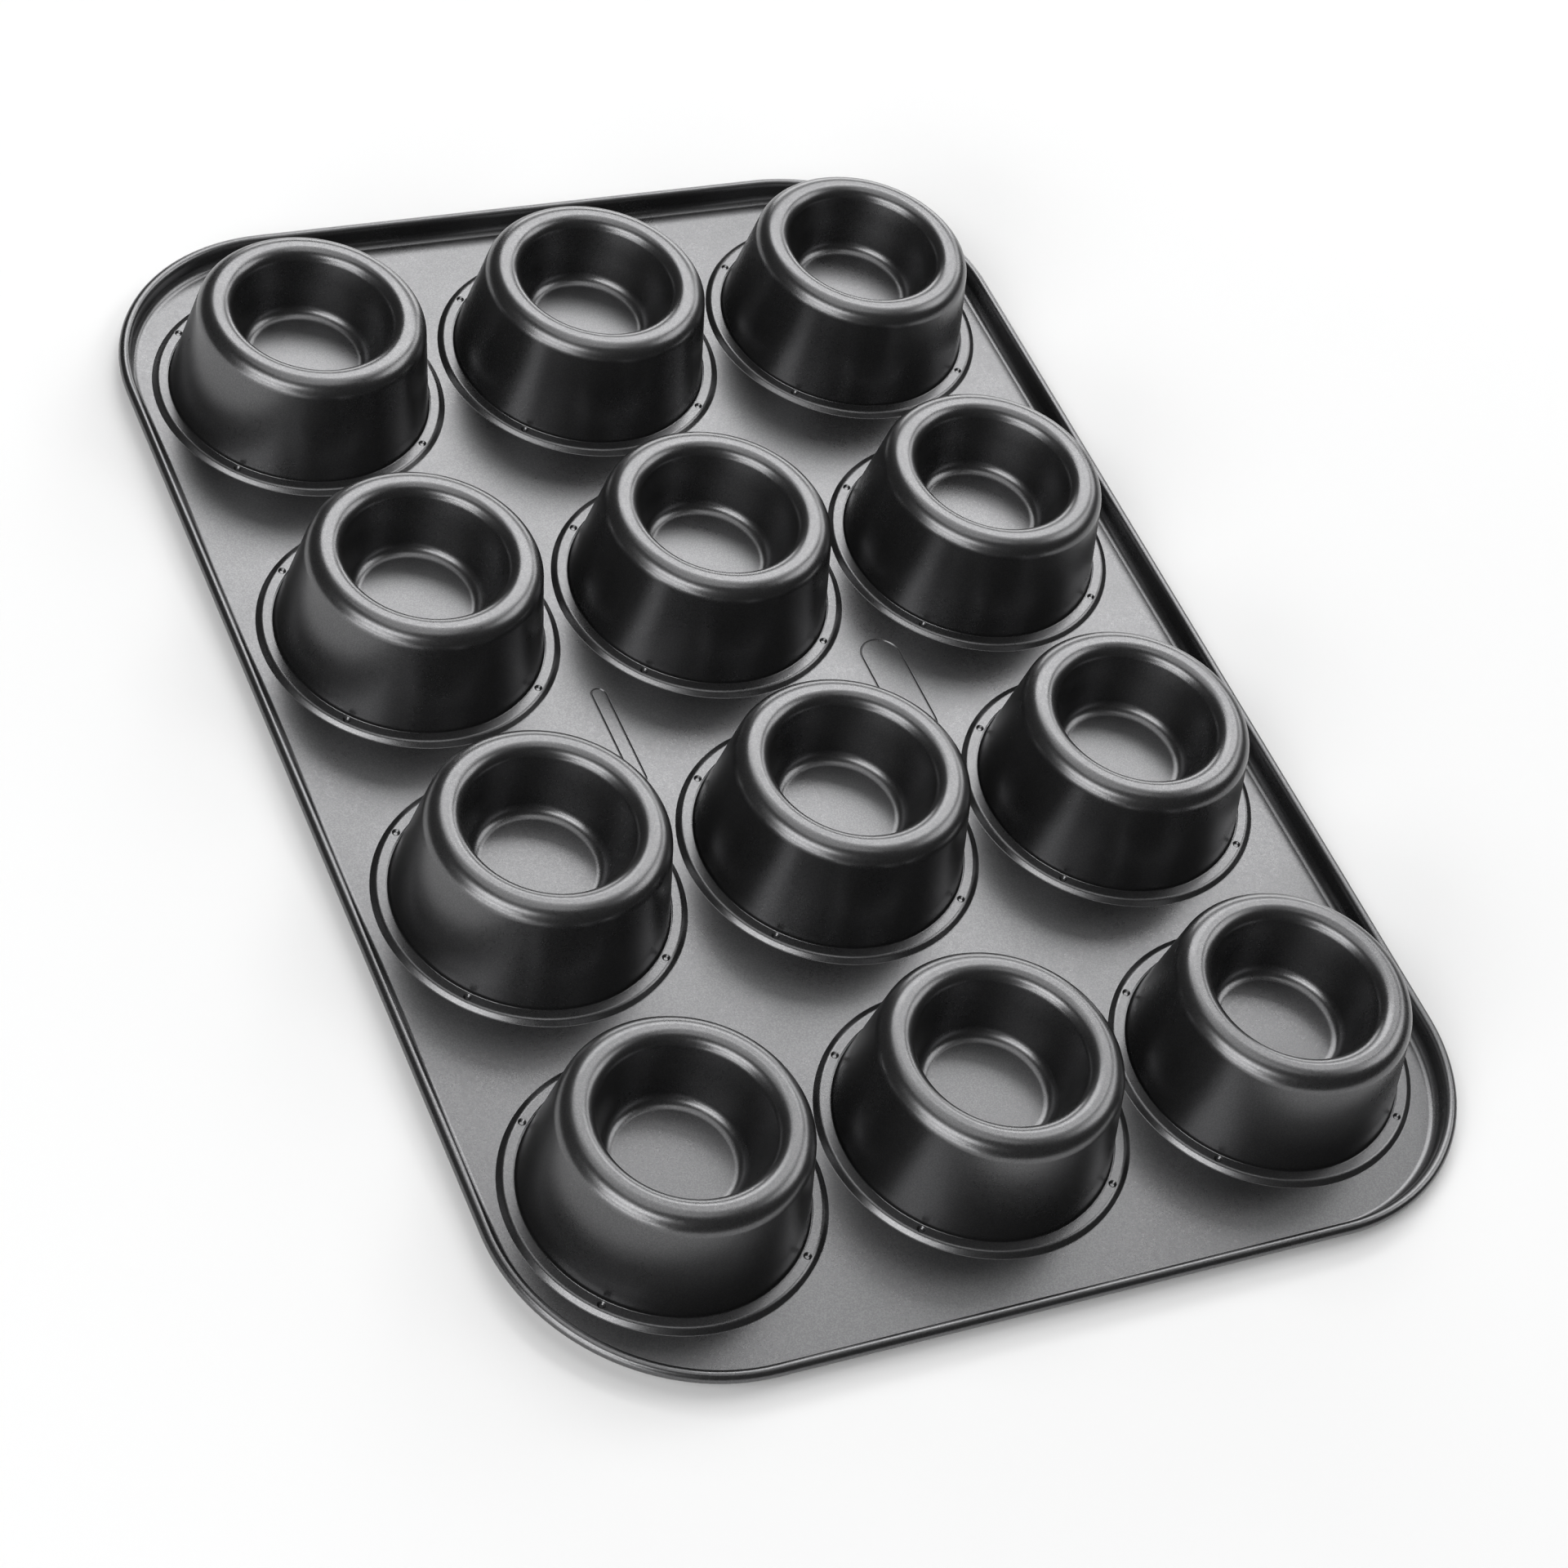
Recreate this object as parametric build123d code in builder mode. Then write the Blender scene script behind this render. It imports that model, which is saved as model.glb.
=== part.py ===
from build123d import *
import os
from math import cos, radians, sin, tan

# Twelve-cup muffin tin pressed from coated sheet steel, lying bottoms up on the food side of its deck.
# The origin is at the middle of the deck's food side. +X runs across the three columns, +Y along the
# four rows, and +Z points at the cup bottoms. Lengths are in millimetres.

# sheet and layout
sheet = 0.6
columns = 3
row_letters = "abcd"
pitch_x = 84.0
pitch_y = 92.0

# rolled bead around the deck, to the centre of its round section
bead_half_x = 131.4
bead_half_y = 194.0
bead_corner = 52.9
bead_height = 5.19
bead_radius = 1.6
bead_turn = 300.0
rim_lean = 5.0
rim_bend = 2.5

# joggle: the deck steps up around each hole to a ledge, so that a cup's flange lies under it;
# its top and foot are where the slope's line meets the ledge and the deck
hole_radius = 36.5
joggle_top_radius = 39.15
joggle_foot_radius = 40.5
joggle_rise = 1.15
joggle_bend = 1.5
joggle_foot_bend = 0.5

# cup, on its outside faces
flange_radius = 38.55
foot_radius = 35.95
cup_height = 31.75
cup_draft = 9.6
floor_height = 13.55
recess_radius = 22.55
recess_draft = 16.0
mouth_bend = 0.5
shoulder_bend = 5.0
crest_bend = 3.85
floor_bend = 3.7

# stakes that lock each cup's flange to the deck: a conical dent above, and its boss below
stake_count = 4
stake_angle = 45.0
stake_circle = 37.8
dent_radius = 1.1
dent_tip_radius = 0.3
dent_depth = 0.75
boss_radius = 0.6
boss_tip_radius = 0.35
boss_height = 0.4
stake_clearance = 0.05

# plain stamped outlines on the deck, between the cups: each one's X position, length and width
panels = [(41.5, 36.0, 12.0), (-41.5, 34.0, 4.6)]
groove_width = 0.7
groove_depth = 0.2

# worked out from the above
rows = len(row_letters)
ledge_top = sheet + joggle_rise
joggle_radius = joggle_foot_radius + joggle_foot_bend
wall_rise = bead_height - sheet - rim_bend
wall_offset = bead_radius + rim_bend
wall_length = (wall_rise + wall_offset * sin(radians(rim_lean))) / cos(radians(rim_lean))
flat_inset = wall_offset * cos(radians(rim_lean)) + wall_length * sin(radians(rim_lean))
flat_half_x = bead_half_x - flat_inset
flat_half_y = bead_half_y - flat_inset
flat_corner = bead_corner - flat_inset
shoulder_radius = foot_radius - (cup_height - joggle_rise) * tan(radians(cup_draft))
floor_radius = recess_radius - (cup_height - floor_height) * tan(radians(recess_draft))


def draw_rim_face(depth):
    """One face of the rim's sheet, at a depth into it from the deck's upper side, and its two ends."""
    bend = JernArc((flat_half_x, sheet - depth), (1, 0), rim_bend + depth, 90 - rim_lean)
    wall = PolarLine(bend @ 1, wall_length, 90 - rim_lean)
    bead = JernArc(wall @ 1, wall % 1, bead_radius - depth, -bead_turn)
    return bend @ 0, bead @ 1


def make_rim():
    """Upturned wall and outward bead around the deck: a quarter, swept and mirrored twice."""
    with BuildPart() as rim:
        with BuildLine() as edge:
            side = Line((flat_half_x, 0), (flat_half_x, flat_half_y - flat_corner))
            corner = JernArc(side @ 1, side % 1, flat_corner, 90)
            Line(corner @ 1, (0, flat_half_y))
        with BuildSketch(Plane.XZ):
            with BuildLine():
                upper_start, upper_end = draw_rim_face(0)
                lower_start, lower_end = draw_rim_face(sheet)
                Line(upper_start, lower_start)
                Line(upper_end, lower_end)
            make_face()
        sweep(path=edge.wire())
        mirror(about=Plane.XZ)
        mirror(about=Plane.YZ)
    return rim.part


def make_hole_edge():
    """Ring of the deck around one hole: a ledge, a sloping step down and four stakes."""
    with BuildPart() as hole_edge:
        with BuildSketch(Plane.XZ):
            with BuildLine():
                FilletPolyline(
                    (hole_radius, ledge_top),
                    (joggle_top_radius, ledge_top),
                    (joggle_foot_radius, sheet),
                    (joggle_radius, sheet),
                    radius=[joggle_bend, joggle_foot_bend],
                )
                offset(amount=sheet, side=Side.RIGHT)
            make_face()
        revolve(axis=Axis.Z)
        with Locations((0, 0, joggle_rise)):
            with PolarLocations(stake_circle, stake_count, stake_angle):
                Cone(boss_tip_radius, boss_radius, boss_height, align=(Align.CENTER, Align.CENTER, Align.MAX))
        with Locations((0, 0, ledge_top)):
            with PolarLocations(stake_circle, stake_count, stake_angle):
                Cone(
                    dent_tip_radius,
                    dent_radius,
                    dent_depth,
                    align=(Align.CENTER, Align.CENTER, Align.MAX),
                    mode=Mode.SUBTRACT,
                )
    return hole_edge.part


def make_deck():
    """The deck, all one sheet: flat plate, stepped hole edges, rim and bead."""
    rim = make_rim()
    hole_edge = make_hole_edge()
    with BuildPart() as deck:
        with BuildSketch():
            RectangleRounded(2 * flat_half_x, 2 * flat_half_y, flat_corner)
            with GridLocations(pitch_x, pitch_y, columns, rows):
                Circle(joggle_radius, mode=Mode.SUBTRACT)
        extrude(amount=sheet)
        add(rim)
        with GridLocations(pitch_x, pitch_y, columns, rows):
            add(hole_edge)
        with BuildSketch(Plane.XY.offset(sheet)):
            for x, length, width in panels:
                with Locations((x, 0)):
                    SlotOverall(length, width, rotation=90)
                    SlotOverall(
                        length - 2 * groove_width,
                        width - 2 * groove_width,
                        rotation=90,
                        mode=Mode.SUBTRACT,
                    )
        extrude(amount=-groove_depth, mode=Mode.SUBTRACT)
    return deck.part


def make_cup():
    """One deep-drawn cup: flange, drafted wall, rounded crest and a recess under its raised floor."""
    with BuildPart() as cup:
        with BuildSketch(Plane.XZ):
            with BuildLine():
                FilletPolyline(
                    (flange_radius, joggle_rise),
                    (foot_radius, joggle_rise),
                    (shoulder_radius, cup_height),
                    (recess_radius, cup_height),
                    (floor_radius, floor_height),
                    (0, floor_height),
                    radius=[mouth_bend, shoulder_bend, crest_bend, floor_bend],
                )
                offset(amount=sheet, side=Side.LEFT)
            make_face()
        revolve(axis=Axis.Z)
        with Locations((0, 0, joggle_rise)):
            with PolarLocations(stake_circle, stake_count, stake_angle):
                Cone(
                    boss_tip_radius + stake_clearance,
                    boss_radius + stake_clearance,
                    boss_height + stake_clearance,
                    align=(Align.CENTER, Align.CENTER, Align.MAX),
                    mode=Mode.SUBTRACT,
                )
    return cup.part


def save(part, name):
    """Label a piece and write its STEP file."""
    part.label = name
    export_step(part, f"parts/{name}.step")


os.makedirs("parts", exist_ok=True)
save(make_deck(), "deck")
cup = make_cup()
for row, letter in enumerate(row_letters):
    for column in range(columns):
        x = (column - (columns - 1) / 2) * pitch_x
        y = ((rows - 1) / 2 - row) * pitch_y
        save(Pos(x, y) * cup, f"cup_{letter}{column + 1}")
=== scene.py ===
from math import atan2, cos, degrees, hypot, pi, radians, sin, tan

import bpy
import numpy as np
from mathutils import Matrix, Vector
from mathutils.geometry import delaunay_2d_cdt


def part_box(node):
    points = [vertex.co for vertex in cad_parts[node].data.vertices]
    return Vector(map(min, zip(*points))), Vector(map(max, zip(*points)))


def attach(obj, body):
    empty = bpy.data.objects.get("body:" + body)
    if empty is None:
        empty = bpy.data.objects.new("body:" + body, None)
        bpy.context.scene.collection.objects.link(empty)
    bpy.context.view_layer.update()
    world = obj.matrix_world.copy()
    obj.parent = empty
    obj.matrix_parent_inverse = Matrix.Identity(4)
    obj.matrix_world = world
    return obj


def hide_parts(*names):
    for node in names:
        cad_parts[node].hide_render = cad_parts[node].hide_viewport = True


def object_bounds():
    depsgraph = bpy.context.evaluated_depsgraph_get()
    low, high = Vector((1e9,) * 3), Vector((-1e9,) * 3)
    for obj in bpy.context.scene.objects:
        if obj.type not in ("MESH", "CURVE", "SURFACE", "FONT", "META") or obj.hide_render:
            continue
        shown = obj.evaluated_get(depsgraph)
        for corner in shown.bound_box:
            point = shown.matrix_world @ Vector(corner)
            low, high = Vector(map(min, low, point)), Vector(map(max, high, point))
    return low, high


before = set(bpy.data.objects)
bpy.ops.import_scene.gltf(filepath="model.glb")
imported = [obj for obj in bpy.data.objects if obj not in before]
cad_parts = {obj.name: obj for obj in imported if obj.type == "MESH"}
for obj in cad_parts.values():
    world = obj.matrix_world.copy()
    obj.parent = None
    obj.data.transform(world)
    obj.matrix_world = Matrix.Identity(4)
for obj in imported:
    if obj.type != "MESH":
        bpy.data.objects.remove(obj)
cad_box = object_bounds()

# A twelve-cup muffin tin, bottoms up. Each pressing is built again as one fine, closed sheet mesh with
# exact surface normals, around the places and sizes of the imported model. Lengths are in metres.

MM = 0.001
CUPS = sorted(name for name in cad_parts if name.startswith("cup_"))

# sheet, and the small round along its cut edges
SHEET = 0.6 * MM
CUT_EDGE = 0.08 * MM

# rolled bead and rim; the bead's centre line is the deck's box less the bead's radius
BEAD_RADIUS = 1.6 * MM
BEAD_TURN = 300
BEAD_CORNER = 52.9 * MM
RIM_LEAN = 5
RIM_BEND = 2.5 * MM

# joggle: ledge and step of the deck around each hole; its top and foot are where the slope's line
# meets the ledge and the deck
HOLE_RADIUS = 36.5 * MM
JOGGLE_TOP_RADIUS = 39.15 * MM
JOGGLE_FOOT_RADIUS = 40.5 * MM
JOGGLE_RISE = 1.15 * MM
JOGGLE_BEND = 1.5 * MM
JOGGLE_FOOT_BEND = 0.5 * MM

# cup
FOOT_RADIUS = 35.95 * MM
CUP_DRAFT = 9.6
RECESS_RADIUS = 22.55 * MM
RECESS_DRAFT = 16
FLOOR_HEIGHT = 13.55 * MM
MOUTH_BEND = 0.5 * MM
SHOULDER_BEND = 5.0 * MM
CREST_BEND = 3.85 * MM
FLOOR_BEND = 3.7 * MM

# stakes: a dent in the ledge, its boss below and the pit in the cup's flange that the boss sits in,
# each with its mouth radius, tip radius and depth
STAKE_COUNT = 4
STAKE_ANGLE = 45
STAKE_CIRCLE = 37.8 * MM
DENT = (1.15 * MM, 0.42 * MM, 0.6 * MM)
BOSS = (0.60 * MM, 0.30 * MM, 0.38 * MM)
PIT = (0.62 * MM, 0.34 * MM, 0.44 * MM)

# plain stamped outlines: X position, length and width of each, and the part of its half width that each
# corner rounds off
PANELS = [(41.5 * MM, 36.0 * MM, 12.0 * MM), (-41.5 * MM, 34.0 * MM, 4.6 * MM)]
NEARLY_ROUND = 0.999
GROOVE_WIDTH = 0.7 * MM
GROOVE_DEPTH = 0.3 * MM

# fineness of the meshes: steps around a hole, closer together over STAKE_WIDTH degrees at each stake,
# then the stakes' own rings and sides, the rows of the joggle's bend that the dents reach into, the
# deck's outline and plate, and the grooves
PLAIN_STEPS = 22
STAKE_WIDTH = 4.4
STAKE_STEPS = 6
STAKE_RINGS = 7
STAKE_SIDES = 22
SHOULDER_ROWS = 3
SIDE_STEP = 4 * MM
CORNER_STEPS = 32
PLATE_STEP = 3.2 * MM
PLATE_MARGIN = 0.6 * PLATE_STEP
GROOVE_RINGS = 6
GROOVE_STEP = 1.2 * MM
GROOVE_CORNER_STEPS = 14

# tolerances: points this close are one, a normal this close to upright is level, and the distance in
# millimetres at which a patch's points are one
WELD = 1e-7
LEVEL_TOLERANCE = 1e-6
PATCH_TOLERANCE = 1e-6

# coating: colours of its darkest and brightest flakes, gloss, and its speckle, grain and clouds, each
# with how many of its cells go into a metre; the roughness runs from low to high over clouds and grain
FLAKE_DARK = (0.108, 0.108, 0.111, 1)
FLAKE_BRIGHT = (0.140, 0.140, 0.142, 1)
METALLIC = 0.94
CLEAR_WEIGHT = 0.06
CLEAR_ROUGHNESS = 0.14
SPECKLE_SCALE = 2600
GRAIN_SCALE = 900
CLOUD_SCALE = 35
CLOUD_ROUGHNESS = (0.26, 0.29)
GRAIN_ROUGHNESS = (0.0, 0.03)
SPECKLE_BUMP = (0.06, 0.005 * MM)
GRAIN_BUMP = (0.05, 0.01 * MM)

# studio: the softboxes stand on a dome of this radius, and the surround looks white to the camera but
# gives little light
STUDIO_RADIUS = 3.0
FILL_LIGHT = 0.05
BACKDROP_LIGHT = 0.9
FLOOR_SIZE = 4.0
FLOOR_TONE = (0.88, 0.88, 0.88, 1)

# softboxes: azimuth, elevation, width and height of each in degrees, then its brightness
SOFTBOXES = {
    "back": (30, 43, 36, 18, 5.6),
    "back_high": (30, 60, 36, 14, 1.6),
    "back_low": (30, 9, 44, 16, 4.4),
    "right": (86, 42, 26, 22, 3.6),
    "right_low": (60, 26, 18, 12, 4.2),
    "left": (238, 46, 40, 16, 6.2),
    "left_mid": (245, 34, 30, 10, 2.4),
    "left_low": (238, 22, 36, 12, 6.2),
    "left_floor": (236, 5, 50, 10, 5.0),
    "overhead": (0, 84, 34, 34, 1.5),
}

# camera: where it stands from the tin, the turn of its frame, and the point that it looks at, counted
# from the middle of the tin's food side
CAMERA_AZIMUTH = 216.956
CAMERA_ELEVATION = 47.218
CAMERA_ROLL = 18.633
CAMERA_DISTANCE = 1029 * MM
CAMERA_LENS = 89.8
CAMERA_SENSOR = 36
CAMERA_AIM = (-3.8 * MM, -25.1 * MM, 0.45 * MM)

# worked out from the above
DECK_LOW, DECK_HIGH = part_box("deck")
CUP_LOW, CUP_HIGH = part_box(CUPS[0])
CUP_HEIGHT = CUP_HIGH.z
FLANGE_RADIUS = (CUP_HIGH.x - CUP_LOW.x) / 2
BEAD_HALF_X = DECK_HIGH.x - BEAD_RADIUS
BEAD_HALF_Y = DECK_HIGH.y - BEAD_RADIUS
BEAD_HEIGHT = DECK_HIGH.z - BEAD_RADIUS
JOGGLE_SLOPE = degrees(atan2(JOGGLE_RISE, JOGGLE_FOOT_RADIUS - JOGGLE_TOP_RADIUS))
STEP_RADIUS = JOGGLE_FOOT_RADIUS + JOGGLE_FOOT_BEND * tan(radians(JOGGLE_SLOPE / 2))


# --- sections ---------------------------------------------------------------------------------------

def trace(start, heading, moves, side):
    """Points and normals of a line of straight and round moves. The normals are on the left for side 1.

    A move is (length, steps) for a straight, or (radius, turn in degrees, steps) for an arc, left turns
    being positive.
    """
    point = np.array(start, float)
    angle = radians(heading)
    points, angles = [point], [angle]
    for move in moves:
        if len(move) == 2:
            length, steps = move
            along = np.array([cos(angle), sin(angle)])
            points += [point + along * length * k / steps for k in range(1, steps + 1)]
            angles += [angle] * steps
        else:
            radius, turn, steps = move
            swing = 1 if turn > 0 else -1
            centre = point + radius * swing * np.array([-sin(angle), cos(angle)])
            for k in range(1, steps + 1):
                a = angle + radians(turn) * k / steps
                points.append(centre - radius * swing * np.array([-sin(a), cos(a)]))
                angles.append(a)
            angle += radians(turn)
        point = points[-1]
    angles = np.array(angles)
    normals = side * np.stack([-np.sin(angles), np.cos(angles)], 1)
    return np.array(points), normals


def both_sides(points, normals, along):
    """A sheet's section: out along its face, round its cut edge, and back along the other face.

    along points out of the sheet at the cut edge.
    """
    along = np.array(along, float)
    normal = normals[-1]
    end = points[-1] - along * CUT_EDGE
    face = np.vstack([points[:-1], end])
    back = face - normals * SHEET
    quarter = np.radians([30, 60, 90])  # each side of the cut edge rounds through these
    upper = normal * np.cos(quarter)[:, None] + along * np.sin(quarter)[:, None]
    lower = along * np.sin(quarter[::-1])[:, None] - normal * np.cos(quarter[::-1])[:, None]
    upper_points = end - normal * CUT_EDGE + upper * CUT_EDGE
    lower_points = end - normal * (SHEET - CUT_EDGE) + lower * CUT_EDGE
    section = np.vstack([face, upper_points, lower_points, back[::-1]])
    section_normals = np.vstack([normals, upper, lower, -normals[::-1]])
    return section, section_normals


def bend_reach(radius, turn):
    """How far a bend reaches back from its corner along each side."""
    return radius * tan(radians(turn / 2))


def cup_section():
    """Cup from the middle of its floor out to the flange's edge and back along the food side."""
    wall_turn = 90 - CUP_DRAFT
    recess_turn = 90 - RECESS_DRAFT
    rise = CUP_HEIGHT - JOGGLE_RISE
    depth = CUP_HEIGHT - FLOOR_HEIGHT
    shoulder_corner = FOOT_RADIUS - rise * tan(radians(CUP_DRAFT))
    floor_corner = RECESS_RADIUS - depth * tan(radians(RECESS_DRAFT))
    mouth = bend_reach(MOUTH_BEND, wall_turn)
    shoulder = bend_reach(SHOULDER_BEND, wall_turn)
    crest = bend_reach(CREST_BEND, recess_turn)
    floor = bend_reach(FLOOR_BEND, recess_turn)
    points, normals = trace(
        (0, FLOOR_HEIGHT),
        0,
        [
            (floor_corner - floor, 6),
            (FLOOR_BEND, recess_turn, 8),
            (depth / cos(radians(RECESS_DRAFT)) - floor - crest, 5),
            (CREST_BEND, -recess_turn, 9),
            (shoulder_corner - RECESS_RADIUS - shoulder - crest, 1),
            (SHOULDER_BEND, -wall_turn, 10),
            (rise / cos(radians(CUP_DRAFT)) - shoulder - mouth, 8),
            (MOUTH_BEND, wall_turn, 3),
            (FLANGE_RADIUS - FOOT_RADIUS - mouth, 1),
        ],
        1,
    )
    return both_sides(points, normals, (1, 0))


def hole_section():
    """Deck around a hole: from the flat plate in, up the step, along the ledge and back beneath."""
    bend = bend_reach(JOGGLE_BEND, JOGGLE_SLOPE)
    foot = bend_reach(JOGGLE_FOOT_BEND, JOGGLE_SLOPE)
    slope = hypot(JOGGLE_RISE, JOGGLE_FOOT_RADIUS - JOGGLE_TOP_RADIUS)
    points, normals = trace(
        (STEP_RADIUS, SHEET),
        180,
        [
            (JOGGLE_FOOT_BEND, -JOGGLE_SLOPE, 4),
            (slope - bend - foot, 2),
            (JOGGLE_BEND, JOGGLE_SLOPE, 2 * SHOULDER_ROWS),
            (JOGGLE_TOP_RADIUS - bend - HOLE_RADIUS, 1),
        ],
        -1,
    )
    return both_sides(points, normals, (-1, 0))


def rim_section():
    """Rim: from the flat plate out, up the wall, round the bead and back inside it.

    It also gives how far the flat plate's edge lies inside the bead's centre line.
    """
    lean = radians(RIM_LEAN)
    offset = BEAD_RADIUS + RIM_BEND
    wall = (BEAD_HEIGHT - SHEET - RIM_BEND + offset * sin(lean)) / cos(lean)
    inset = offset * cos(lean) + wall * sin(lean)
    points, normals = trace(
        (0, SHEET),
        0,
        [(RIM_BEND, 90 - RIM_LEAN, 7), (wall, 1), (BEAD_RADIUS, -BEAD_TURN, 20)],
        1,
    )
    end_heading = radians(90 - RIM_LEAN - BEAD_TURN)
    section = both_sides(points, normals, (cos(end_heading), sin(end_heading)))
    return section, inset


# --- meshes -----------------------------------------------------------------------------------------

class Skin:
    """Collects vertices with exact normals and faces, welds them and makes the object."""

    def __init__(self):
        self.points, self.normals, self.faces, self.count = [], [], [], 0

    def add(self, points, normals, faces):
        self.points.append(points.reshape(-1, 3))
        self.normals.append(normals.reshape(-1, 3))
        self.faces += [tuple(int(i) + self.count for i in face) for face in faces]
        self.count += len(self.points[-1])

    def add_rings(self, points, normals, outward, left_out=()):
        """Quads between closed rings, which on the upper face run outward or inward.

        The arrays are of ring by place on the ring by 3. left_out are rings with no quads after them.
        """
        rings, places = points.shape[:2]
        faces = []
        for i in range(rings - 1):
            if i in left_out:
                continue
            for j in range(places):
                k = (j + 1) % places
                quad = (i * places + j, i * places + k, (i + 1) * places + k, (i + 1) * places + j)
                faces.append(quad[::-1] if outward else quad)
        self.add(points, normals, faces)

    def build(self, name, material):
        points, normals = np.vstack(self.points), np.vstack(self.normals)
        keys = np.round(points / WELD).astype(np.int64)
        _, first, where = np.unique(keys, axis=0, return_index=True, return_inverse=True)
        where = where.reshape(-1)
        faces = []
        for face in self.faces:
            corners = [where[i] for i in face]
            kept = [c for i, c in enumerate(corners) if c != corners[i - 1]]
            if len(kept) > 2:
                faces.append(kept)
        used = sorted({corner for face in faces for corner in face})
        place = {corner: i for i, corner in enumerate(used)}
        mesh = bpy.data.meshes.new(name)
        mesh.from_pydata(points[first[used]].tolist(), [], [[place[c] for c in face] for face in faces])
        mesh.polygons.foreach_set("use_smooth", [True] * len(mesh.polygons))
        mesh.normals_split_custom_set_from_vertices(normals[first[used]].tolist())
        mesh.materials.append(material)
        piece = bpy.data.objects.new(name, mesh)
        bpy.context.scene.collection.objects.link(piece)
        return piece


def triangles(rims, others, facing):
    """Triangles inside the first rim and around the rest, through closed loops and single points.

    The points are those of the rims and then those of others, a list of (points, closed). facing is 1
    for faces that look up and -1 for down.
    """
    owners, edges, count = [], [], 0
    for k, (points, closed) in enumerate([(rim, True) for rim in rims] + others):
        size = len(points)
        if closed:
            edges += [(count + i, count + (i + 1) % size) for i in range(size)]
        owners += [k if 0 < k < len(rims) else -1] * size
        count += size
    points = [Vector(point) for point in np.vstack(rims + [group for group, _ in others]) / MM]
    _, _, faces, origin, _, _ = delaunay_2d_cdt(points, edges, [], 0, PATCH_TOLERANCE)
    kept = []
    for face in faces:
        corners = [origin[i][0] for i in face]
        holes = {owners[i] for i in corners}
        if len(holes) > 1 or holes == {-1}:
            kept.append(corners[::facing])
    return kept


def ring_angles():
    """Angles around a hole, closer together at the stakes."""
    stops = []
    turn = 360 / STAKE_COUNT
    for k in range(STAKE_COUNT):
        start = STAKE_ANGLE + turn * k - STAKE_WIDTH / 2
        end = start + STAKE_WIDTH
        stops += list(np.linspace(start, end, STAKE_STEPS + 1)[:-1])
        stops += list(np.linspace(end, start + turn, PLAIN_STEPS + 1)[:-1])
    return np.radians(stops)


def sweep(section, section_normals, path, outward):
    """Rings that carry a section along a level path, its first axis pointing along outward."""
    rings = np.zeros((len(section), len(path), 3))
    normals = np.zeros_like(rings)
    rings[:, :, :2] = path[None] + section[:, None, None, 0] * outward[None]
    rings[:, :, 2] = section[:, None, 1]
    normals[:, :, :2] = section_normals[:, None, None, 0] * outward[None]
    normals[:, :, 2] = section_normals[:, None, 1]
    return rings, normals


def spin(section, section_normals, angles, centre):
    """Rings of a section turned about the vertical axis through centre."""
    outward = np.stack([np.cos(angles), np.sin(angles)], 1)
    return sweep(section, section_normals, np.tile(centre, (len(angles), 1)), outward)


def add_staked_ring(skin, section, section_normals, rings, rows, centre, shape):
    """Part of a round sheet between the first and last of some rows, with its stakes pressed down.

    shape is the mouth radius, tip radius and depth of a stake.
    """
    mouth, tip, depth = shape
    turn = np.linspace(0, 2 * pi, STAKE_SIDES, endpoint=False)
    out = np.stack([np.cos(turn), np.sin(turn)], 1)
    places = np.radians(STAKE_ANGLE + 360 / STAKE_COUNT * np.arange(STAKE_COUNT))
    stakes = centre + STAKE_CIRCLE * np.stack([np.cos(places), np.sin(places)], 1)
    discs = [stake + out * reach for stake in stakes for reach in np.linspace(tip, mouth, STAKE_RINGS)]
    between = rings[rows[1:-1], :, :2].reshape(-1, 2)
    for stake in stakes:
        between = between[np.linalg.norm(between - stake, axis=1) > mouth + CUT_EDGE]
    rims = sorted((rings[rows[0], :, :2], rings[rows[-1], :, :2]), key=lambda rim: -rim[:, 0].max())
    others = [(between, False), (stakes, False), (np.vstack(discs), False)]
    points = np.vstack(rims + [group for group, _ in others])
    away = points - centre
    radius = np.linalg.norm(away, axis=1)
    order = sorted(rows, key=lambda row: section[row, 0])
    level = np.interp(radius, section[order, 0], section[order, 1])
    climb = np.interp(radius, section[order, 0], -section_normals[order, 0] / section_normals[order, 1])
    gradient = away * (climb / radius)[:, None]
    for stake in stakes:
        offset = points - stake
        reach = np.maximum(np.linalg.norm(offset, axis=1), WELD)
        share = np.clip((mouth - reach) / (mouth - tip), 0, 1)
        level = level - depth * share * share * (3 - 2 * share)
        slope = depth * 6 * share * (1 - share) / (mouth - tip)
        gradient = gradient + offset * (slope / reach)[:, None]
    facing = 1 if section_normals[rows[-1], 1] > 0 else -1
    normals = np.column_stack([-gradient, np.ones(len(points))]) * facing
    normals /= np.linalg.norm(normals, axis=1, keepdims=True)
    skin.add(np.column_stack([points, level]), normals, triangles(rims, others, facing))


def flat_row(section, section_normals, low, high, facing):
    """The row from which a section runs level, face up or down, between two radii."""
    radius = section[:, 0]
    level = np.abs(section_normals[:, 1] - facing) < LEVEL_TOLERANCE
    for i in range(len(section) - 1):
        near, far = sorted(radius[i : i + 2])
        if level[i] and level[i + 1] and near > low and far < high and far - near > MM:
            return i


def make_cup(name, material):
    """One cup, at its node's place."""
    low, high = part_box(name)
    centre = ((low.x + high.x) / 2, (low.y + high.y) / 2)
    section, section_normals = cup_section()
    rings, normals = spin(section, section_normals, ring_angles(), centre)
    flange = flat_row(section, section_normals, FOOT_RADIUS, FLANGE_RADIUS, 1)
    skin = Skin()
    skin.add_rings(rings, normals, outward=True, left_out=[flange])
    add_staked_ring(skin, section, section_normals, rings, [flange, flange + 1], centre, PIT)
    return skin.build(name + "_pressing", material)


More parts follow.
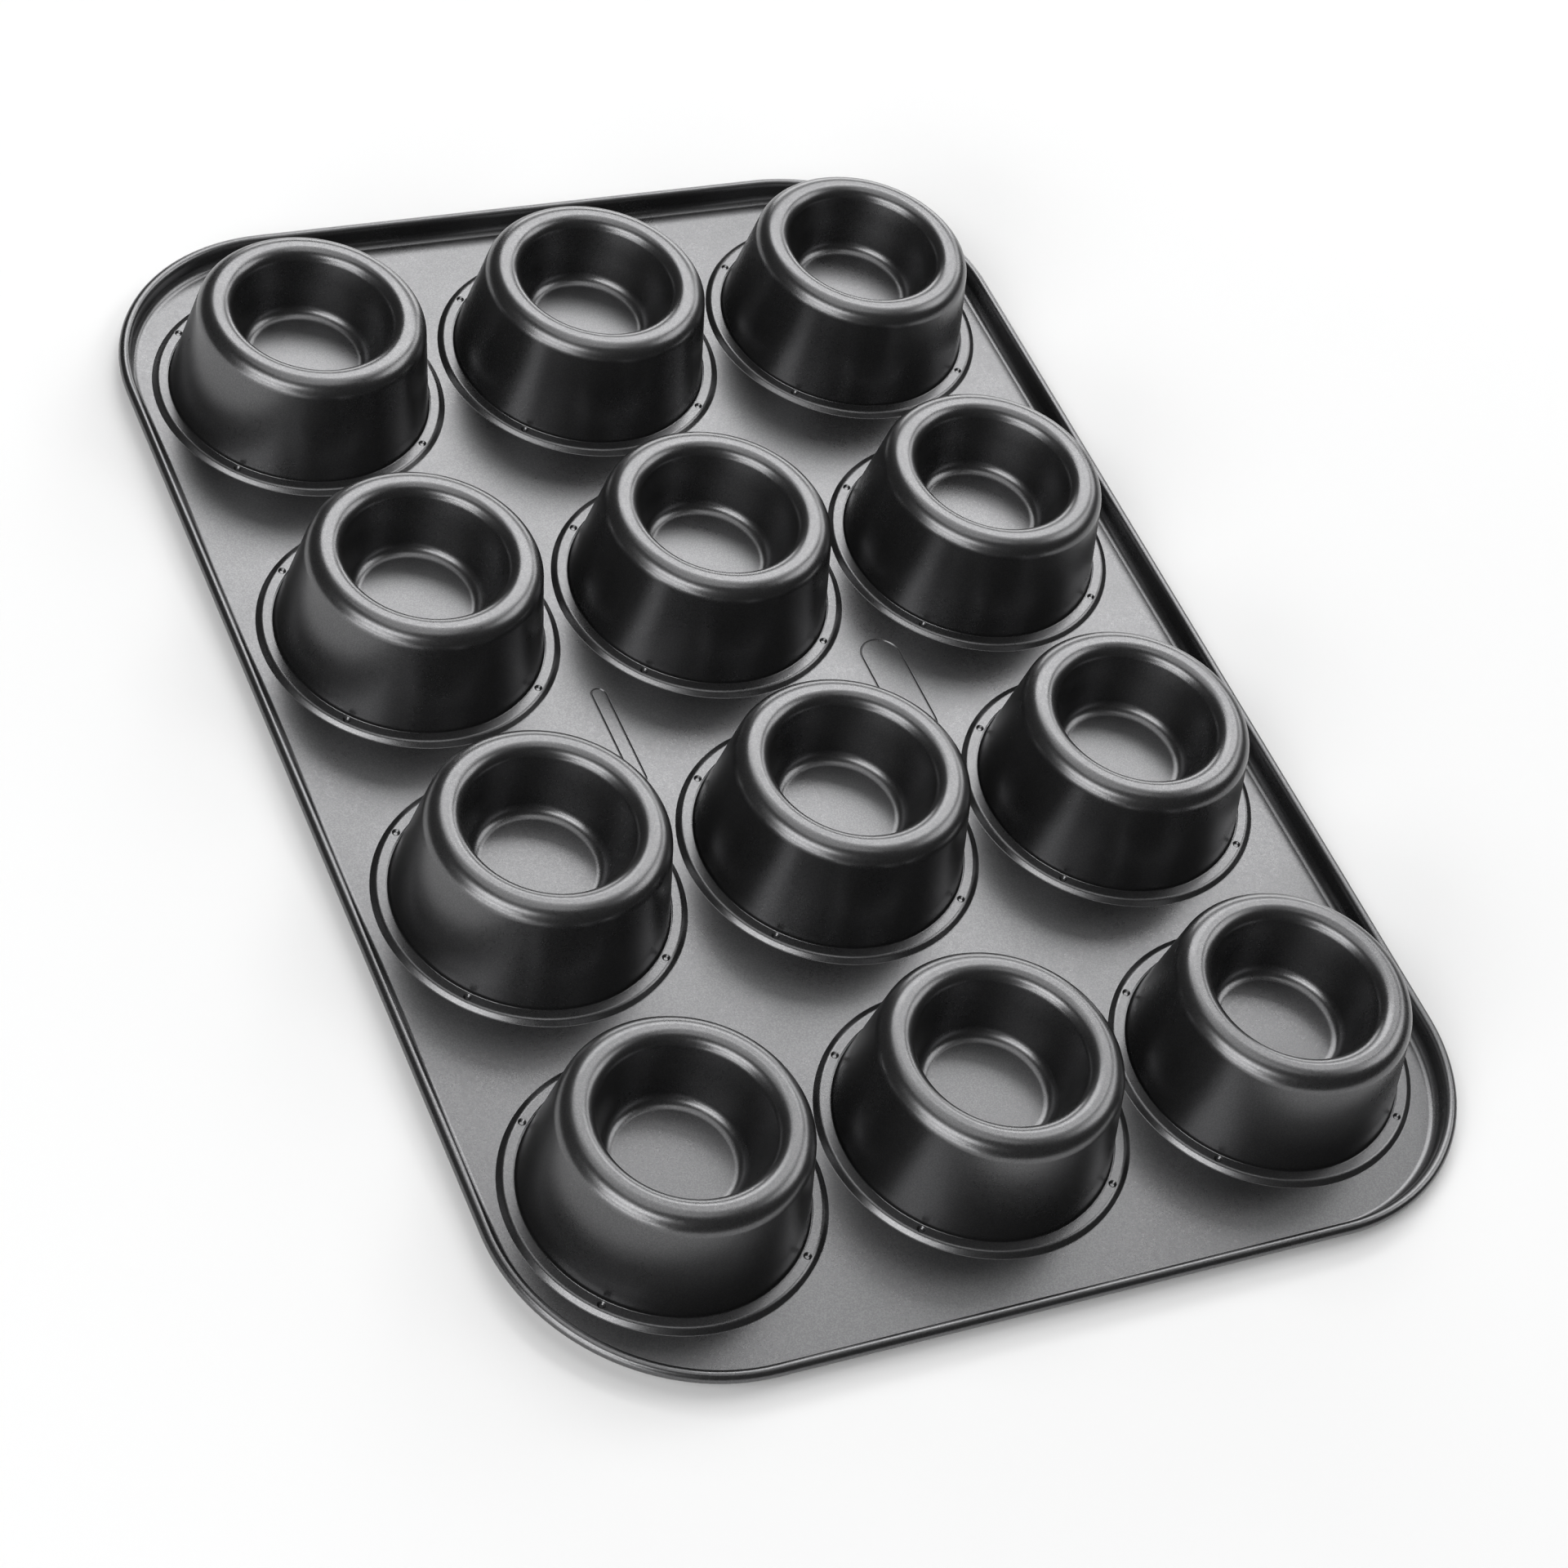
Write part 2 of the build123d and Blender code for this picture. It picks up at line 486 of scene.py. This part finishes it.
def rounded_outline(half_x, half_y, corner, side_step, corner_steps):
    """Points and outward normals around a rectangle with round corners."""
    points, normals = [], []
    corners = [(1, 1, 0), (-1, 1, 90), (-1, -1, 180), (1, -1, 270)]
    for k, (sx, sy, start) in enumerate(corners):
        centre = np.array([sx * (half_x - corner), sy * (half_y - corner)])
        for i in range(corner_steps + 1):
            a = radians(start + 90 * i / corner_steps)
            out = np.array([cos(a), sin(a)])
            points.append(centre + out * corner)
            normals.append(out)
        nx, ny, next_start = corners[(k + 1) % 4]
        a = radians(next_start)
        out = np.array([cos(a), sin(a)])
        target = np.array([nx * (half_x - corner), ny * (half_y - corner)]) + out * corner
        gap = target - points[-1]
        steps = int(round(np.linalg.norm(gap) / side_step))
        here = points[-1]
        for i in range(1, steps):
            points.append(here + gap * i / steps)
            normals.append(out)
    return np.array(points), np.array(normals)


def groove_loops():
    """Loops across each stamped groove, with their depths and slopes."""
    loops = []
    for x, length, width in PANELS:
        for k in range(GROOVE_RINGS + 1):
            inward = GROOVE_WIDTH * k / GROOVE_RINGS
            phase = 2 * pi * k / GROOVE_RINGS
            depth = GROOVE_DEPTH * (1 - cos(phase)) / 2
            slope = GROOVE_DEPTH * pi / GROOVE_WIDTH * sin(phase)
            half_x, half_y = width / 2 - inward, length / 2 - inward
            points, normals = rounded_outline(
                half_x, half_y, half_x * NEARLY_ROUND, GROOVE_STEP, GROOVE_CORNER_STEPS
            )
            points = points + np.array([x, 0])
            tilted = np.column_stack([-normals * slope, np.ones(len(normals))])
            tilted /= np.linalg.norm(tilted, axis=1, keepdims=True)
            loops.append((points, depth, tilted))
    return loops


def clear_of_panels(points):
    """Which points lie outside every stamped groove, or well inside its outline."""
    clear = np.ones(len(points), bool)
    for x, length, width in PANELS:
        spine_y = np.clip(points[:, 1], -(length - width) / 2, (length - width) / 2)
        away = np.hypot(points[:, 0] - x, points[:, 1] - spine_y)
        within = away > width / 2 - GROOVE_WIDTH - PLATE_MARGIN
        clear &= ~(within & (away < width / 2 + PLATE_MARGIN))
    return clear


def plate_points(half_x, half_y, corner, centres):
    """Inner points of the flat plate on a staggered grid, clear of its outline, holes and grooves."""
    row_step = PLATE_STEP * sin(radians(60))
    rows = int(half_y / row_step) + 1
    columns = int(half_x / PLATE_STEP) + 1
    points = []
    for j in range(-rows, rows + 1):
        for i in range(-columns, columns + 1):
            points.append(((i + 0.5 * (j % 2)) * PLATE_STEP, j * row_step))
    points = np.array(points)
    beyond_x = np.maximum(np.abs(points[:, 0]) - (half_x - corner), 0)
    beyond_y = np.maximum(np.abs(points[:, 1]) - (half_y - corner), 0)
    keep = np.hypot(beyond_x, beyond_y) < corner - PLATE_MARGIN
    for centre in centres:
        keep &= np.hypot(*(points - centre).T) > STEP_RADIUS + PLATE_MARGIN
    return points[keep & clear_of_panels(points)]


def add_plate(skin, outline, centres, angles, height, facing, grooves):
    """Flat plate at a height between the outline and the holes, face up or down, with its grooves."""
    turn = np.stack([np.cos(angles), np.sin(angles)], 1)
    rims = [outline] + [centre + STEP_RADIUS * turn for centre in centres]
    half_x, half_y = np.abs(outline).max(0)
    inner = plate_points(half_x, half_y, BEAD_CORNER - (BEAD_HALF_X - half_x), centres)
    others = [(loop, True) for loop, _, _ in grooves] + [(inner, False)]
    points = np.vstack(rims + [group for group, _ in others])
    depths = np.zeros(len(points))
    normals = np.tile(np.array([0, 0, facing], float), (len(points), 1))
    start = sum(len(rim) for rim in rims)
    for loop, depth, tilted in grooves:
        depths[start : start + len(loop)] = depth
        normals[start : start + len(loop)] = tilted
        start += len(loop)
    skin.add(np.column_stack([points, height - depths]), normals, triangles(rims, others, facing))


def make_deck(centres, material):
    """The deck: rim and bead, hole edges around the cups' centres, and the flat plate between."""
    (section, section_normals), inset = rim_section()
    half_x, half_y = BEAD_HALF_X - inset, BEAD_HALF_Y - inset
    outline, outward = rounded_outline(half_x, half_y, BEAD_CORNER - inset, SIDE_STEP, CORNER_STEPS)
    skin = Skin()
    skin.add_rings(*sweep(section, section_normals, outline, outward), outward=True)
    angles = ring_angles()
    section, section_normals = hole_section()
    ledge = flat_row(section, section_normals, HOLE_RADIUS, JOGGLE_TOP_RADIUS, 1)
    below = flat_row(section, section_normals, HOLE_RADIUS, JOGGLE_TOP_RADIUS, -1)
    ledge_rows = list(range(ledge - SHOULDER_ROWS, ledge + 2))
    for centre in centres:
        rings, normals = spin(section, section_normals, angles, centre)
        skin.add_rings(rings, normals, outward=False, left_out=ledge_rows[:-1] + [below])
        add_staked_ring(skin, section, section_normals, rings, ledge_rows, centre, DENT)
        add_staked_ring(skin, section, section_normals, rings, [below, below + 1], centre, BOSS)
    add_plate(skin, outline, centres, angles, SHEET, 1, groove_loops())
    add_plate(skin, outline, centres, angles, 0.0, -1, [])
    return skin.build("deck_pressing", material)


# --- material ---------------------------------------------------------------------------------------

def noise(tree, coords, scale, detail, roughness):
    """Noise over the surface, about 0.5 on average."""
    node = tree.nodes.new("ShaderNodeTexNoise")
    node.inputs["Scale"].default_value = scale
    node.inputs["Detail"].default_value = detail
    node.inputs["Roughness"].default_value = roughness
    tree.links.new(coords, node.inputs["Vector"])
    return node.outputs["Fac"]


def spread(tree, value, low, high, out_low, out_high):
    """A value between low and high, mapped smoothly to between out_low and out_high."""
    node = tree.nodes.new("ShaderNodeMapRange")
    node.interpolation_type = "SMOOTHSTEP"
    for socket, number in (
        ("From Min", low), ("From Max", high), ("To Min", out_low), ("To Max", out_high)
    ):
        node.inputs[socket].default_value = number
    tree.links.new(value, node.inputs["Value"])
    return node.outputs["Result"]


def bump(tree, height, strength, distance, normal=None):
    """Normal bent by a height, on top of another bump's normal if one is given."""
    node = tree.nodes.new("ShaderNodeBump")
    node.inputs["Strength"].default_value = strength
    node.inputs["Distance"].default_value = distance
    tree.links.new(height, node.inputs["Height"])
    if normal:
        tree.links.new(normal, node.inputs["Normal"])
    return node.outputs["Normal"]


def coating_material():
    """Dark grey semi-gloss non-stick coating: metal flake, fine speckle and a slight orange peel."""
    material = bpy.data.materials.new("nonstick_coating")
    material.use_nodes = True
    tree = material.node_tree
    shader = tree.nodes["Principled BSDF"]
    coords = tree.nodes.new("ShaderNodeTexCoord").outputs["Object"]
    speckle = noise(tree, coords, SPECKLE_SCALE, 2.0, 0.6)
    grain = noise(tree, coords, GRAIN_SCALE, 3.0, 0.6)
    cloud = noise(tree, coords, CLOUD_SCALE, 3.0, 0.5)
    tone = tree.nodes.new("ShaderNodeMix")
    tone.data_type = "RGBA"
    tree.links.new(spread(tree, speckle, 0.35, 0.7, 0.0, 1.0), tone.inputs["Factor"])
    tone.inputs["A"].default_value = FLAKE_DARK
    tone.inputs["B"].default_value = FLAKE_BRIGHT
    tree.links.new(tone.outputs["Result"], shader.inputs["Base Color"])
    shader.inputs["Metallic"].default_value = METALLIC
    shader.inputs["Coat Weight"].default_value = CLEAR_WEIGHT
    shader.inputs["Coat Roughness"].default_value = CLEAR_ROUGHNESS
    rough = tree.nodes.new("ShaderNodeMath")
    rough.operation = "ADD"
    tree.links.new(spread(tree, cloud, 0.3, 0.7, *CLOUD_ROUGHNESS), rough.inputs[0])
    tree.links.new(spread(tree, grain, 0.3, 0.7, *GRAIN_ROUGHNESS), rough.inputs[1])
    tree.links.new(rough.outputs[0], shader.inputs["Roughness"])
    grainy = bump(tree, grain, *GRAIN_BUMP)
    tree.links.new(bump(tree, speckle, *SPECKLE_BUMP, grainy), shader.inputs["Normal"])
    return material


# --- studio -----------------------------------------------------------------------------------------

def direction(azimuth, elevation):
    """Unit vector pointing at an azimuth, counted from +Y towards +X, and an elevation."""
    a, e = radians(azimuth), radians(elevation)
    return Vector((sin(a) * cos(e), cos(a) * cos(e), sin(e)))


def add_softbox(name, azimuth, elevation, wide, high, brightness, target):
    """A rectangular area light that faces target; wide and high are the degrees that it fills there."""
    light = bpy.data.lights.new(name, "AREA")
    light.shape = "RECTANGLE"
    light.size = 2 * STUDIO_RADIUS * tan(radians(wide / 2))
    light.size_y = 2 * STUDIO_RADIUS * tan(radians(high / 2))
    light.energy = pi * light.size * light.size_y * brightness
    lamp = bpy.data.objects.new(name, light)
    towards = direction(azimuth, elevation)
    lamp.location = target + towards * STUDIO_RADIUS
    lamp.rotation_mode = "QUATERNION"
    lamp.rotation_quaternion = towards.to_track_quat("Z", "Y")
    bpy.context.scene.collection.objects.link(lamp)


def make_floor():
    """Plain pale floor under the tin."""
    mesh = bpy.data.meshes.new("floor")
    half = FLOOR_SIZE / 2
    corners = [(-half, -half, 0), (half, -half, 0), (half, half, 0), (-half, half, 0)]
    mesh.from_pydata(corners, [], [(0, 1, 2, 3)])
    floor = bpy.data.objects.new("floor", mesh)
    material = bpy.data.materials.new("pale_floor")
    material.use_nodes = True
    shader = material.node_tree.nodes["Principled BSDF"]
    shader.inputs["Base Color"].default_value = FLOOR_TONE
    shader.inputs["Roughness"].default_value = 0.9
    shader.inputs["Specular IOR Level"].default_value = 0.1
    mesh.materials.append(material)
    bpy.context.scene.collection.objects.link(floor)
    floor.location.z = DECK_LOW.z


def make_studio(target):
    """The surround and the softboxes, which all face target."""
    world = bpy.data.worlds.new("studio")
    bpy.context.scene.world = world
    world.use_nodes = True
    tree = world.node_tree
    seen = tree.nodes.new("ShaderNodeLightPath").outputs["Is Camera Ray"]
    background = tree.nodes["Background"]
    background.inputs["Color"].default_value = (1, 1, 1, 1)
    tree.links.new(spread(tree, seen, 0, 1, FILL_LIGHT, BACKDROP_LIGHT), background.inputs["Strength"])
    for name, (azimuth, elevation, wide, high, brightness) in SOFTBOXES.items():
        add_softbox(name, azimuth, elevation, wide, high, brightness, target)


def make_camera(middle):
    """Camera looking down across the near left corner, with the tin turned in the frame."""
    target = Vector((middle.x, middle.y, DECK_LOW.z)) + Vector(CAMERA_AIM)
    forward = -direction(CAMERA_AZIMUTH, CAMERA_ELEVATION)
    camera_data = bpy.data.cameras.new("camera")
    camera_data.sensor_width = CAMERA_SENSOR
    camera_data.lens = CAMERA_LENS
    camera_data.clip_start = 0.05
    camera = bpy.data.objects.new("camera", camera_data)
    camera.location = target - forward * CAMERA_DISTANCE
    level = forward.to_track_quat("-Z", "Y").to_matrix()
    camera.rotation_mode = "QUATERNION"
    camera.rotation_quaternion = (level @ Matrix.Rotation(radians(CAMERA_ROLL), 3, "Z")).to_quaternion()
    bpy.context.scene.collection.objects.link(camera)
    bpy.context.scene.camera = camera


def main():
    coating = coating_material()
    centres = []
    for name in CUPS:
        low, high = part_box(name)
        centres.append(np.array([(low.x + high.x) / 2, (low.y + high.y) / 2]))
        cup = make_cup(name, coating)
        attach(cup, "root")
        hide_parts(name)
    deck = make_deck(centres, coating)
    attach(deck, "root")
    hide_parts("deck")
    middle = (cad_box[0] + cad_box[1]) / 2
    make_floor()
    make_studio(middle)
    make_camera(middle)
    bpy.context.scene.view_settings.view_transform = "Standard"


main()
